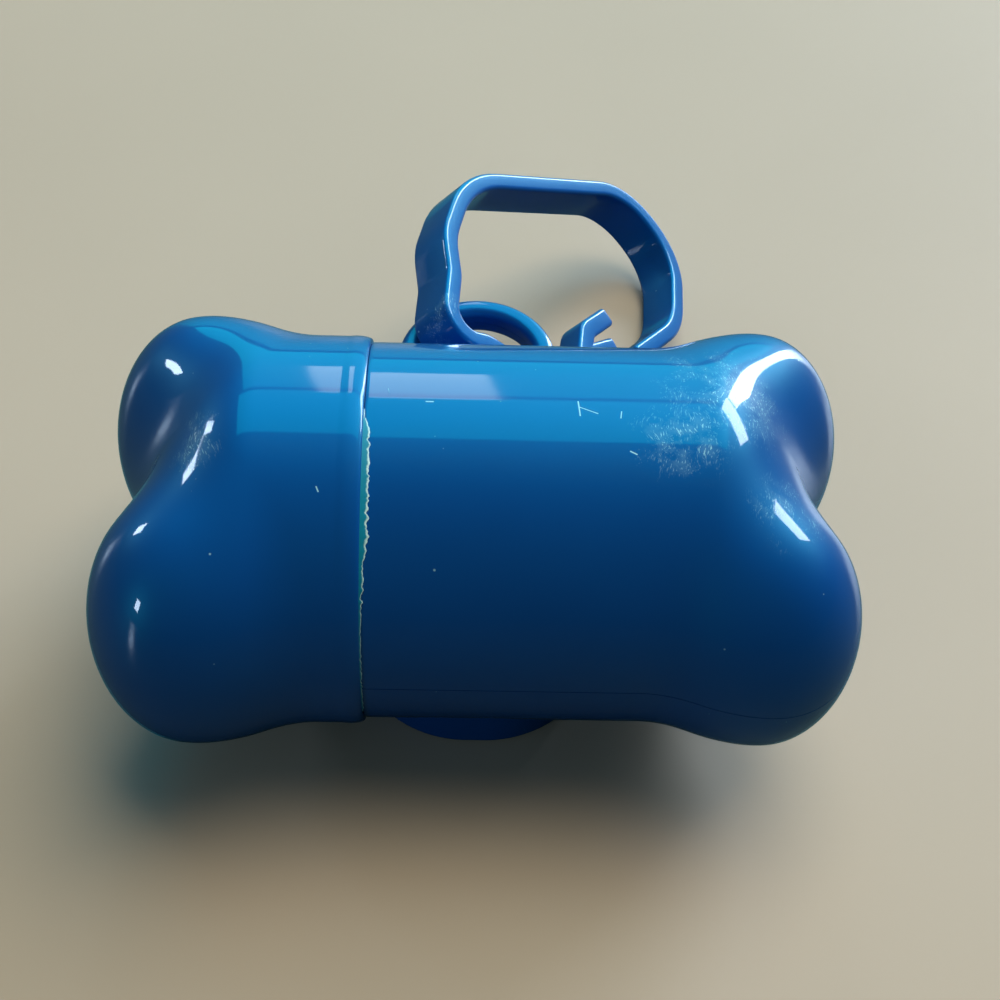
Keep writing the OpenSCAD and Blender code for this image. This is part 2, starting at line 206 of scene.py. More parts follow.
def add_node(material, kind, settings=None, inputs=None):
    """Adds a node, sets its properties, and sets or links its inputs."""
    node = material.node_tree.nodes.new(kind)
    for key, value in (settings or {}).items():
        setattr(node, key, value)
    for key, value in (inputs or {}).items():
        if isinstance(value, bpy.types.NodeSocket):
            material.node_tree.links.new(value, node.inputs[key])
        else:
            node.inputs[key].default_value = value
    return node


def new_material(name):
    """An empty material with its shader and output, and where the object's own coordinates come in."""
    material = bpy.data.materials.new(name)
    material.use_nodes = True
    material.node_tree.nodes.clear()
    output = add_node(material, "ShaderNodeOutputMaterial")
    shader = add_node(material, "ShaderNodeBsdfPrincipled")
    material.node_tree.links.new(shader.outputs["BSDF"], output.inputs["Surface"])
    place = add_node(material, "ShaderNodeTexCoord").outputs["Object"]
    return material, shader, place


print("the blue of the shells in linear light:", np.round(linear("#0a86c8")[:3], 3))

# %% [markdown]
# The holder rubs in a pocket, so its worn places carry short scuffs: a noise that is stretched
# thin in one direction, bent by a slower noise, and kept only where it is high. Three directions
# of it lie over each other. Everywhere else there are only a few specks and some single marks.
# The gloss has two layers, as a moulded skin has: a broad blue-green sheen from just under the
# surface, and over it a clear coat that mirrors the windows.

# %% Patterns of wear
def strokes(material, place, turn, thin_mm=0.17, length=6.0, keep=0.63):
    """Short fine scuffs in one main direction, bent a little by a slow noise."""
    slow = add_node(material, "ShaderNodeTexNoise", None, {"Vector": place, "Scale": MM / 7}).outputs["Color"]
    bent = add_node(material, "ShaderNodeVectorMath", {"operation": "MULTIPLY_ADD"},
                    {0: slow, 1: (5 / MM,) * 3, 2: place}).outputs["Vector"]
    drawn = add_node(material, "ShaderNodeMapping", None,
                     {"Vector": bent, "Rotation": turn, "Scale": (length, 1, length)}).outputs["Vector"]
    field = add_node(material, "ShaderNodeTexNoise", None,
                     {"Vector": drawn, "Scale": MM / thin_mm / length, "Roughness": 0.55}).outputs["Fac"]
    return add_node(material, "ShaderNodeMapRange", None,
                    {"Value": field, "From Min": keep, "From Max": keep + 0.06}).outputs["Result"]


def near_point(material, place, centre_mm, reach_mm):
    """1 at a point, falling to 0 at a distance from it."""
    away = add_node(material, "ShaderNodeVectorMath", {"operation": "DISTANCE"},
                    {0: place, 1: tuple(c / MM for c in centre_mm)}).outputs["Value"]
    return add_node(material, "ShaderNodeMapRange", {"interpolation_type": "SMOOTHSTEP"},
                    {"Value": away, "From Min": 0.0, "From Max": reach_mm / MM, "To Min": 1.0,
                     "To Max": 0.0}).outputs["Result"]


def near_line(material, place, start_mm, end_mm, width_mm):
    """1 on a short straight scratch, 0 away from it."""
    a, b = Vector(start_mm) / MM, Vector(end_mm) / MM
    from_a = add_node(material, "ShaderNodeVectorMath", {"operation": "SUBTRACT"},
                      {0: place, 1: a}).outputs["Vector"]
    along = add_node(material, "ShaderNodeVectorMath", {"operation": "DOT_PRODUCT"},
                     {0: from_a, 1: (b - a) / (b - a).length_squared}).outputs["Value"]
    along = add_node(material, "ShaderNodeMapRange", None, {"Value": along}).outputs["Result"]
    step = add_node(material, "ShaderNodeVectorMath", {"operation": "SCALE"},
                    {0: b - a, "Scale": along}).outputs["Vector"]
    away = add_node(material, "ShaderNodeVectorMath", {"operation": "DISTANCE"},
                    {0: from_a, 1: step}).outputs["Value"]
    return add_node(material, "ShaderNodeMapRange", None,
                    {"Value": away, "From Min": 0.4 * width_mm / MM, "From Max": width_mm / MM, "To Min": 1.0,
                     "To Max": 0.0}).outputs["Result"]


def specks(material, place, apart_mm, size_mm, share):
    """Sparse pale dots: only some of the cells of a Voronoi pattern get one."""
    cells = add_node(material, "ShaderNodeTexVoronoi", None, {"Vector": place, "Scale": MM / apart_mm})
    size = size_mm / apart_mm
    dot = add_node(material, "ShaderNodeMapRange", None,
                   {"Value": cells.outputs["Distance"], "From Min": size * 0.5, "From Max": size, "To Min": 1.0,
                    "To Max": 0.0}).outputs["Result"]
    lot = add_node(material, "ShaderNodeSeparateColor", None, {"Color": cells.outputs["Color"]}).outputs["Red"]
    drawn = add_node(material, "ShaderNodeMapRange", None,
                     {"Value": lot, "From Min": 1 - share, "From Max": 1 - share + 0.02}).outputs["Result"]
    return add_node(material, "ShaderNodeMath", {"operation": "MULTIPLY"}, {0: dot, 1: drawn}).outputs["Value"]


# %% Blue moulded polypropylene
SCUFF_TURNS = [(0, 0, 0.5), (0, 0, 2.2), (0.9, 0, 1.3)]
SPECKS_MM = [(3.4, 0.15, 0.42), (1.9, 0.08, 0.35)]


def blue_polypropylene(name, colours, worn_at, marks):
    """Glossy moulded plastic with worn places, and short marks given as start, end and width."""
    material, shader, place = new_material(name)
    cloud = add_node(material, "ShaderNodeTexNoise", None,
                     {"Vector": place, "Scale": MM / 14, "Detail": 3.0, "Roughness": 0.55}).outputs["Fac"]
    pigment = add_node(material, "ShaderNodeMix", {"data_type": "RGBA"},
                       {"Factor": cloud, "A": linear(colours[0]), "B": linear(colours[1])}).outputs["Result"]
    worn, scuffs, dots = 0.0, 0.0, 0.0
    for centre, reach in worn_at:
        worn = add_node(material, "ShaderNodeMath", {"operation": "MAXIMUM"},
                        {0: worn, 1: near_point(material, place, centre, reach)}).outputs["Value"]
    patches = add_node(material, "ShaderNodeTexNoise", None,
                       {"Vector": place, "Scale": MM / 3.2, "Detail": 4.0, "Roughness": 0.65}).outputs["Fac"]
    patchy = add_node(material, "ShaderNodeMapRange", None,
                      {"Value": patches, "From Min": 0.4, "From Max": 0.62}).outputs["Result"]
    rubbed = add_node(material, "ShaderNodeMath", {"operation": "MULTIPLY"}, {0: worn, 1: patchy}).outputs["Value"]
    depth = add_node(material, "ShaderNodeMapRange", None,
                     {"Value": rubbed, "From Min": 0.08, "From Max": 0.7, "To Max": 0.75}).outputs["Result"]
    for turn in SCUFF_TURNS:
        scuffs = add_node(material, "ShaderNodeMath", {"operation": "MAXIMUM"},
                          {0: scuffs, 1: strokes(material, place, turn)}).outputs["Value"]
    scuffs = add_node(material, "ShaderNodeMath", {"operation": "MULTIPLY"}, {0: scuffs, 1: depth}).outputs["Value"]
    haze = add_node(material, "ShaderNodeMapRange", None,
                    {"Value": rubbed, "From Min": 0.2, "To Max": 0.16}).outputs["Result"]
    for kind in SPECKS_MM:
        dots = add_node(material, "ShaderNodeMath", {"operation": "MAXIMUM"},
                        {0: dots, 1: specks(material, place, *kind)}).outputs["Value"]
    dots = add_node(material, "ShaderNodeMath", {"operation": "MULTIPLY"}, {0: dots, 1: 0.6}).outputs["Value"]
    pale = scuffs
    for layer in [haze, dots] + [near_line(material, place, *mark) for mark in marks]:
        pale = add_node(material, "ShaderNodeMath", {"operation": "MAXIMUM"}, {0: pale, 1: layer}).outputs["Value"]
    colour = add_node(material, "ShaderNodeMix", {"data_type": "RGBA"},
                      {"Factor": pale, "A": pigment, "B": linear("#9fdcee")}).outputs["Result"]
    material.node_tree.links.new(colour, shader.inputs["Base Color"])
    dull = add_node(material, "ShaderNodeMath", {"operation": "MULTIPLY_ADD"},
                    {0: pale, 1: 0.3, 2: 0.45}).outputs["Value"]
    material.node_tree.links.new(dull, shader.inputs["Roughness"])
    shader.inputs["Specular IOR Level"].default_value = 1.0
    shader.inputs["Specular Tint"].default_value = linear("#00e8ff")
    shader.inputs["Coat Weight"].default_value = 1.0
    shader.inputs["Coat Roughness"].default_value = 0.05
    ripple = add_node(material, "ShaderNodeTexNoise", None, {"Vector": place, "Scale": MM / 5.5}).outputs["Fac"]
    ripple = add_node(material, "ShaderNodeMath", {"operation": "MULTIPLY"}, {0: ripple, 1: 0.3}).outputs["Value"]
    height = add_node(material, "ShaderNodeMath", {"operation": "SUBTRACT"}, {0: ripple, 1: pale}).outputs["Value"]
    bump = add_node(material, "ShaderNodeBump", None, {"Strength": 0.2, "Distance": 0.04 / MM, "Height": height})
    material.node_tree.links.new(bump.outputs["Normal"], shader.inputs["Normal"])
    material.node_tree.links.new(bump.outputs["Normal"], shader.inputs["Coat Normal"])
    return material


shell_blue = blue_polypropylene(
    "moulded polypropylene, shell blue", ("#04408e", "#044898"),
    [((24, 4, 40), 11), ((19, -3, 41), 7), ((30, -9, 39), 7)],
    [((9.05, 1.3, 41.56), (9.2, -0.5, 41.58), 0.09), ((9.1, 0.6, 41.57), (10.9, -0.2, 41.58), 0.07),
     ((13.2, 0.1, 41.58), (13.1, -0.7, 41.57), 0.07), ((13.9, -4.4, 41.08), (14.5, -4.7, 41.02), 0.09),
     ((-9.3, 2.6, 41.42), (-9.1, 1.6, 41.5), 0.035), ((-5.6, 0.9, 41.58), (-4.9, 0.9, 41.58), 0.08)])
cap_blue = blue_polypropylene(
    "moulded polypropylene, cap blue", ("#044290", "#044a9a"),
    [((-27, -3, 39), 5)], [((-15.6, -8.7, 40.2), (-15.4, -9.1, 40.0), 0.09)])
clip_blue = blue_polypropylene(
    "moulded polypropylene, clip blue", ("#04489a", "#0450a6"), [((-4, 25, 28), 5)],
    [((0, 25, 29.5), (1, 25, 29), 0.05)])
print("made", len(bpy.data.materials), "materials")

# %% [markdown]
# ## The two half shells
# On the real holder two half mouldings meet along a flat plane through the axis, and the joint
# shows as a fine dark line. The whole shell, with its neck and its room for the roll, is grown
# as one closed skin. Then it is cut at the plane, a hair above it and a hair below it, and each
# cut is filled, so that the line in the picture is a real gap.

# %% Grow the shell with its neck and room
def shell_skin():
    """One closed skin: from the inner tip to the neck's mouth and back outside to the outer tip."""
    inner = end_rings(RIM_X + SHOULDER, -WALL, SIDES, 6, 40)[::-1]
    neck_end = RIM_X - NECK_LEN
    mouth = [(RIM_X + SHOULDER, NECK_BORE), (neck_end, NECK_BORE), (neck_end, NECK_R - NECK_EDGE),
             (neck_end + NECK_EDGE, NECK_R)]
    mouth += [(RIM_X - NECK_LEN * 0.6 + BEAD_HALF * t, NECK_R + BEAD_H * math.cos(math.pi / 2 * t))
              for t in (-1, -0.5, 0, 0.5, 1)]
    mouth += [(RIM_X, NECK_R), (RIM_X, WAIST_R - 0.25), (RIM_X + 0.07, WAIST_R - 0.07), (RIM_X + 0.25, WAIST_R)]
    outer = end_rings(RIM_X + 0.4, 0.0, SIDES, 14, 84)
    return grow_rings(inner + [plain_ring(x, r, SIDES) for x, r in mouth] + outer)


def keep_half(bm, side, gap=0.05):
    """Cuts a bmesh a hair above or below the parting plane and fills the cut."""
    cut = bmesh.ops.bisect_plane(bm, geom=bm.verts[:] + bm.edges[:] + bm.faces[:], dist=1e-5,
                                 plane_co=(0, 0, AXIS_Z + side * gap), plane_no=(0, 0, side), clear_inner=True)
    rim = [g for g in cut["geom_cut"] if isinstance(g, bmesh.types.BMEdge)]
    bmesh.ops.triangle_fill(bm, use_beauty=True, use_dissolve=False, edges=rim)
    bmesh.ops.recalc_face_normals(bm, faces=bm.faces)
    return bm


upper = keep_half(shell_skin(), 1)
lower = keep_half(shell_skin(), -1)
print("upper half has", len(upper.faces), "faces, lower half", len(lower.faces))

# %% [markdown]
# ## The boss and the bag slot
# The holder lies on a low oval boss under its belly, and the bags come out through a slot in
# it. The boss is a circle pulled apart, extruded up until its top lies inside the shell's wall. The
# slot is cut through boss and wall with a boolean, because a drilled hole has no simpler form.

# %% Build the boss and cut the slot
BOSS_R = 12.7
BOSS_LONG = 2.0
BOSS_HALF = 11.2
BOSS_EDGE = 0.8
SLOT_LEN = 14.0
SLOT_W = 6.4


def boss_form():
    """The boss, from its rounded foot up into the wall."""
    turn = np.linspace(0, 2 * math.pi, 96, endpoint=False) + math.pi / 96

    def oval(r, z):
        x = r * np.cos(turn) + np.sign(np.cos(turn)) * BOSS_LONG / 2
        return np.stack([np.clip(x, -BOSS_HALF, BOSS_HALF), r * np.sin(turn), np.zeros(96) + z], axis=1)

    rings = [oval(BOSS_R - BOSS_EDGE * (1 - math.sin(t)), BOSS_EDGE * (1 - math.cos(t)))
             for t in np.linspace(0, math.pi / 2, 7)]
    for r in (BOSS_R, BOSS_R - 2, BOSS_R - 5, BOSS_R - 8, BOSS_R - 11):
        rings.append(oval(r, AXIS_Z - np.sqrt((WAIST_R - WALL / 2) ** 2 - (r * np.sin(turn)) ** 2)))
    return grow_rings(rings)


def slot_form():
    """The slot's outline, a circle pulled apart, extruded up through boss and wall and flared at its foot."""
    turn = np.linspace(0, 2 * math.pi, 64, endpoint=False) + math.pi / 64
    rings = []
    for z, grow in ((-1.0, 0.7), (0.0, 0.7), (0.35, 0.2), (0.8, 0.0), (8.0, 0.0)):
        r = SLOT_W / 2 + grow
        x = r * np.cos(turn) + np.sign(np.cos(turn)) * (SLOT_LEN - SLOT_W) / 2
        rings.append(np.stack([x, r * np.sin(turn), np.full(64, z)], axis=1))
    return grow_rings(rings)


def cut_away(bm, tool):
    """The bmesh less another one, by an exact boolean."""
    objects = []
    for part in (bm, tool):
        mesh = bpy.data.meshes.new("cutting")
        part.to_mesh(mesh)
        part.free()
        objects.append(bpy.data.objects.new("cutting", mesh))
        bpy.context.scene.collection.objects.link(objects[-1])
    modifier = objects[0].modifiers.new("slot", "BOOLEAN")
    modifier.operation, modifier.solver, modifier.object = "DIFFERENCE", "EXACT", objects[1]
    bpy.context.view_layer.update()
    cut = bpy.data.meshes.new_from_object(objects[0].evaluated_get(bpy.context.evaluated_depsgraph_get()))
    result = bmesh.new()
    result.from_mesh(cut)
    for item in objects:
        bpy.data.meshes.remove(item.data)
    bpy.data.meshes.remove(cut)
    return result


lower = cut_away(lower, slot_form())
boss = cut_away(boss_form(), slot_form())
make_piece(upper, "upper_half_shell", shell_blue, "shell", replaces=("upper_shell",))
make_piece(lower, "lower_half_shell", shell_blue, "shell", replaces=("lower_shell",))
make_piece(boss, "slotted_boss", shell_blue, "shell")

# %% [markdown]
# ## The end cap
# The cap is the bone's other end, a thicker cup that slides over the neck. Its mouth ends in a
# rounded lip that stands a little proud, which catches a bright line of light.

# %% Grow the cap
LIP_W = 1.6
LIP_DROP = 0.35
LIP_PROUD = 0.05


def cap_skin():
    """One closed skin, grown as a right end and turned to the left side."""
    mouth, outside = -RIM_X, WAIST_R + CAP_STEP
    inner = end_rings(mouth + NECK_LEN + 0.6, -WALL, SIDES, 6, 40, end=-1)[::-1]
    bore = [(mouth + NECK_LEN + 0.5, CAP_BORE), (mouth + 0.2, CAP_BORE), (mouth, CAP_BORE + 0.2)]
    lip = [(mouth + LIP_W * (1 - math.cos(t)), outside - LIP_DROP + (LIP_DROP + LIP_PROUD) * math.sin(t))
           for t in np.linspace(0, math.pi / 2, 9)]
    lip += [(mouth + LIP_W + 0.35, outside + 0.03), (mouth + LIP_W + 0.7, outside)]
    outer = end_rings(mouth + LIP_W + 0.8, CAP_STEP, SIDES, 14, 84, end=-1)
    return grow_rings(inner + [plain_ring(x, r, SIDES, end=-1) for x, r in bore + lip] + outer)


make_piece(cap_skin(), "end_cap_moulding", cap_blue, "cap", replaces=("end_cap",))

# %% [markdown]
# The mould has left a thin ragged fin of plastic along part of the cap's mouth, and it is the
# palest line of the whole object. A grid is laid round the mouth: one edge stays on the rim and
# the other gets its own ragged width. An attribute runs from 0 at the rim to 1 at the torn
# edge, and the material turns pale by it.

# %% Tear the fin along the cap's mouth
FIN_STEPS = 420
FIN_FROM, FIN_TO = 1.0, 105.0
FIN_THICK = 0.09
FIN_ROOT = 0.08
FIN_WIDTHS = {3.99: 0.1, 4: 0.15, 6: 0.62, 22: 0.72, 38: 0.74, 44: 0.6, 46: 0.42, 56: 0.34, 62: 0.16, 103: 0.13,
              103.01: 0.1}


def fin_form():
    """The fin on the rim. Its width is given by the angle from the top towards the front."""
    bm = bmesh.new()
    edge = bm.verts.layers.float.new("edge")
    bmesh.ops.create_grid(bm, x_segments=FIN_STEPS, y_segments=3, size=1)
    luck = np.random.default_rng(11)
    ragged = np.convolve(luck.normal(0, 1, FIN_STEPS + 9), [0.3, 0.5, 0.7, 0.5, 0.3], "same")[4:FIN_STEPS + 5]
    for vert in bm.verts:
        step = round((vert.co.x + 1) / 2 * FIN_STEPS)
        out = (vert.co.y + 1) / 2
        angle = FIN_FROM + (FIN_TO - FIN_FROM) * step / FIN_STEPS
        even = np.interp(angle, list(FIN_WIDTHS), list(FIN_WIDTHS.values()))
        wide = max(even + 0.07 * ragged[step] * min(1.0, even * 3), 0.05)
        radius = WAIST_R + 0.22 - 0.1 * out
        turn = math.radians(angle)
        vert[edge] = out
        vert.co = (RIM_X - FIN_ROOT + out * (wide + FIN_ROOT), -radius * math.sin(turn),
                   AXIS_Z + radius * math.cos(turn))
    bmesh.ops.recalc_face_normals(bm, faces=bm.faces)
    bmesh.ops.solidify(bm, geom=bm.faces[:], thickness=FIN_THICK)
    return bm


def torn_plastic():
    """The same blue plastic, but thin: clear blue-green at the rim and white where it is torn."""
    material, shader, place = new_material("torn polypropylene fin")
    out = add_node(material, "ShaderNodeAttribute", {"attribute_name": "edge"}).outputs["Fac"]
    speckle = add_node(material, "ShaderNodeTexNoise", None,
                       {"Vector": place, "Scale": MM / 0.5, "Detail": 3.0}).outputs["Fac"]
    uneven = add_node(material, "ShaderNodeMath", {"operation": "MULTIPLY_ADD"},
                      {0: speckle, 1: 0.5, 2: out}).outputs["Value"]
    torn = add_node(material, "ShaderNodeMapRange", None,
                    {"Value": uneven, "From Min": 0.98, "From Max": 1.16}).outputs["Result"]
    colour = add_node(material, "ShaderNodeMix", {"data_type": "RGBA"},
                      {"Factor": torn, "A": linear("#0a84a4"), "B": linear("#c4eef0")}).outputs["Result"]
    material.node_tree.links.new(colour, shader.inputs["Base Color"])
    shader.inputs["Roughness"].default_value = 0.4
    return material


fin = make_piece(fin_form(), "torn_fin_on_the_rim", torn_plastic(), "cap", crisp=50)

# %% [markdown]
# ## The lug
# The lug is an arch of round-cornered bar, half of it moulded on each shell. A flat section is
# made first and its corners are rounded with a vertex bevel. Then it is spun round the eye and
# its two ends are extruded into the shell's wall.

# %% Spin the lug
LUG_X = -0.4
LUG_Y = 23.5
LUG_MID_R = 7.7
LUG_BAR = 2.3
LUG_BAR_H = 3.5
LUG_EDGE = 0.9
LUG_LEG = 4.9
HALF_GAP = 0.03


def lug_form():
    """The whole lug; each shell keeps its half of it."""
    bm = bmesh.new()
    corner = bmesh.ops.create_grid(bm, x_segments=1, y_segments=1, size=1.0)["verts"]
    for v in corner:
        v.co = Vector((math.copysign(LUG_BAR / 2, v.co.x), 0.0, math.copysign(LUG_BAR_H / 2, v.co.y)))
    bmesh.ops.bevel(bm, geom=corner, affect="VERTICES", offset=LUG_EDGE, segments=6, profile=0.5, material=-1)
    bmesh.ops.translate(bm, verts=bm.verts, vec=(LUG_MID_R, 0, 0))
    face = bm.faces[:]
    bmesh.ops.spin(bm, geom=face, cent=(0, 0, 0), axis=(0, 0, 1), dvec=(0, 0, 0), angle=math.pi, steps=56)
    ends = [f for f in bm.faces if abs(f.normal.y) > 0.99 and abs(f.calc_center_median().y) < 1e-4]
    for end in ends:
        grown = bmesh.ops.extrude_discrete_faces(bm, faces=[end])["faces"]
        bmesh.ops.translate(bm, verts=list({v for f in grown for v in f.verts}), vec=(0, -LUG_LEG, 0))
    bmesh.ops.remove_doubles(bm, verts=bm.verts, dist=1e-5)
    bmesh.ops.recalc_face_normals(bm, faces=bm.faces)
    bmesh.ops.translate(bm, verts=bm.verts, vec=(LUG_X, LUG_Y, AXIS_Z))
    return bm


make_piece(keep_half(lug_form(), 1, HALF_GAP), "upper_half_lug", shell_blue, "shell")
make_piece(keep_half(lug_form(), -1, HALF_GAP), "lower_half_lug", shell_blue, "shell")

# %% [markdown]
# ## The spring clip
# The clip is one flat band of plastic bent round a loop, with its edges rounded by the mould. It
# lies on a slope, one side over the lug and the other on the table, so it is drawn in its own
# plane first and then stood in place. The band's section is an edge loop that is extruded from
# station to station along the path.

# %% The clip's path in its own plane
BAND_W = 5.7
BAND_T = 2.2
TONGUE_W = 4.0
TONGUE_T = 2.5
CLIP_AT = np.array([LUG_X - 3.2, LUG_Y + 0.8, AXIS_Z + 6.8])
CLIP_TURN = Matrix.Rotation(math.radians(40.9), 3, "Y") @ Matrix.Rotation(math.radians(3), 3, "X")
ROOT = (13.6, 0.2)
TIP = (30.8, 13.5)
FRAME_CORNERS = [(*ROOT, 0), (6, 0.3, 4), (0.2, -2.4, 3.2), (0.55, 7.2, 5), (-0.6, 12.5, 9), (1.6, 23, 14),
                 (28.6, 40.8, 9), (38.6, 35.4, 9), (38.3, 22.9, 10), (*TIP, 0)]
TONGUE_CORNERS = [(*ROOT, 0), (21.9, 4.3, 4), (22.6, 12.9, 3), (26.4, 17.7, 0)]
PRONG_CORNERS = [(22.5, 9.1, 0), (25.1, 11.4, 8), (27.6, 13.6, 0)]


def rounded_path(corners, step=5.0):
    """Points along a line through corners, each with the radius that rounds it."""
    c = [np.array(p[:2], float) for p in corners]
    path = [c[0]]
    for i in range(1, len(c) - 1):
        u = (c[i - 1] - c[i]) / np.linalg.norm(c[i - 1] - c[i])
        v = (c[i + 1] - c[i]) / np.linalg.norm(c[i + 1] - c[i])
        half = math.acos(float(np.clip(u @ v, -1, 1))) / 2
        r = corners[i][2]
        centre = c[i] + (u + v) / np.linalg.norm(u + v) * r / math.sin(half)
        a, b = c[i] + u * r / math.tan(half) - centre, c[i] + v * r / math.tan(half) - centre
        start = math.atan2(a[1], a[0])
        swing = (math.atan2(b[1], b[0]) - start + 3 * math.pi) % (2 * math.pi) - math.pi
        count = max(3, round(abs(math.degrees(swing)) / step))
        path += [centre + r * np.array([math.cos(start + swing * k / count), math.sin(start + swing * k / count)])
                 for k in range(count + 1)]
    return path + [c[-1]]


def band_rings(path, thick, wide, inset, soft=0.5, end_soft=0.5):
    """The band's section at each station, narrowed a little at both ends so that they look rounded."""
    corner = np.linspace(0, math.pi / 2, 6)
    section = []
    for sx, sy, begin in ((1, 1, 0), (-1, 1, 1), (-1, -1, 2), (1, -1, 3)):
        for t in corner:
            turn = t + begin * math.pi / 2
            section.append((sx * (thick / 2 - soft) + soft * math.cos(turn),
                            sy * (wide / 2 - soft) + soft * math.sin(turn)))
    section = np.array(section)
    path = [np.array(p) for p in path]
    first, last = path[1] - path[0], path[-1] - path[-2]
    first, last = first / np.linalg.norm(first), last / np.linalg.norm(last)
    curl = [(end_soft * (1 - math.sin(t)), end_soft * (1 - math.cos(t))) for t in np.linspace(0, math.pi / 2, 7)]
    stations = [(path[0] + first * back, shrink) for back, shrink in curl[::-1]]
    stations += [(p, 0.0) for p in path[1:-1]]
    stations += [(path[-1] - last * back, shrink) for back, shrink in curl]
    rings = []
    for i, (p, shrink) in enumerate(stations):
        before = stations[max(i - 1, 0)][0]
        after = stations[min(i + 1, len(stations) - 1)][0]
        along = (after - before) / np.linalg.norm(after - before)
        across = np.array([-along[1], along[0]])
        size = (np.array([thick, wide]) - 2 * shrink) / (thick, wide)
        ring = [[*(p + across * s[0] * size[0]), s[1] * size[1] - wide / 2 - inset] for s in section]
        rings.append(np.array([list(CLIP_TURN @ Vector(q)) for q in ring]) + CLIP_AT)
    return rings


frame_path = rounded_path(FRAME_CORNERS)
inset = (BAND_W - TONGUE_W) / 2
tongue_bm = grow_rings(band_rings(rounded_path(TONGUE_CORNERS), TONGUE_T, TONGUE_W, inset, end_soft=0.95))
prong_bm = grow_rings(band_rings(rounded_path(PRONG_CORNERS), TONGUE_T - 0.4, TONGUE_W, inset, end_soft=0.8))
make_piece(grow_rings(band_rings(frame_path, BAND_T, BAND_W, 0.0)), "clip_band", clip_blue, "clip",
           replaces=("clip_frame",))
make_piece(tongue_bm, "clip_long_prong", clip_blue, "tongue", replaces=("clip_tongue",))
make_piece(prong_bm, "clip_short_prong", clip_blue, "tongue")

# %% [markdown]
# ## The roll of bags
# Each bag is thin dark film, folded to the roll's length and wound on a cardboard tube. The
# folded edges never line up quite, so the ends of the roll show a fine spiral of edges and the
# outside is slightly crumpled. The roll is grown along its axis as a tube whose radius wavers.

# %% Film and card
def film_material():
    """Wound polyethylene film: dull, dark and slightly silky, with a spiral of edges at its ends."""
    material, shader, place = new_material("wound polyethylene film, charcoal")
    cross = add_node(material, "ShaderNodeMapping", None,
                     {"Vector": place, "Location": (0, 0, -0.0211), "Scale": (0.05, 1, 1)}).outputs[0]
    rings = add_node(material, "ShaderNodeTexWave", {"wave_type": "RINGS", "rings_direction": "X"},
                     {"Vector": cross, "Scale": MM / 2.6, "Distortion": 3.0, "Detail": 2.0,
                      "Detail Scale": 2.0}).outputs["Fac"]
    colour = add_node(material, "ShaderNodeMix", {"data_type": "RGBA"},
                      {"Factor": rings, "A": linear("#1b1d20"), "B": linear("#34373b")}).outputs["Result"]
    material.node_tree.links.new(colour, shader.inputs["Base Color"])
    shader.inputs["Roughness"].default_value = 0.38
    crease = add_node(material, "ShaderNodeTexNoise", None,
                      {"Vector": place, "Scale": MM / 3, "Detail": 4.0, "Roughness": 0.6}).outputs["Fac"]
    height = add_node(material, "ShaderNodeMath", {"operation": "MULTIPLY_ADD"},
                      {0: rings, 1: 0.4, 2: crease}).outputs["Value"]
    bump = add_node(material, "ShaderNodeBump", None, {"Strength": 0.5, "Distance": 0.25 / MM, "Height": height})
    material.node_tree.links.new(bump.outputs["Normal"], shader.inputs["Normal"])
    return material


def card_material():
    """Spiral-wound grey-brown card, with its seam and short fibres."""
    material, shader, place = new_material("spiral-wound core card")
    twist = add_node(material, "ShaderNodeTexWave", {"wave_type": "BANDS", "bands_direction": "DIAGONAL"},
                     {"Vector": place, "Scale": MM / 30, "Distortion": 0.4}).outputs["Fac"]
    fibre = add_node(material, "ShaderNodeTexNoise", None,
                     {"Vector": place, "Scale": MM / 0.5, "Detail": 5.0, "Roughness": 0.7}).outputs["Fac"]
    mix = add_node(material, "ShaderNodeMath", {"operation": "MULTIPLY"}, {0: twist, 1: 0.2}).outputs["Value"]
    mix = add_node(material, "ShaderNodeMath", {"operation": "MULTIPLY_ADD"},
                   {0: fibre, 1: 0.8, 2: mix}).outputs["Value"]
    colour = add_node(material, "ShaderNodeMix", {"data_type": "RGBA"},
                      {"Factor": mix, "A": linear("#7d6548"), "B": linear("#b59a74")}).outputs["Result"]
    material.node_tree.links.new(colour, shader.inputs["Base Color"])
    shader.inputs["Roughness"].default_value = 0.85
    bump = add_node(material, "ShaderNodeBump", None, {"Strength": 0.4, "Distance": 0.08 / MM, "Height": fibre})
    material.node_tree.links.new(bump.outputs["Normal"], shader.inputs["Normal"])
    return material


bag_film = film_material()
core_card = card_material()
card_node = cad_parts["roll_core"]
card_node.data.materials.clear()
card_node.data.materials.append(core_card)
print("film and card ready")

# %% Wind the roll and lead out the first bag
ROLL_R = 15.2
ROLL_LEN = 50.0
CORE_R = 6.0
ROLL_Z = AXIS_Z - 1.0


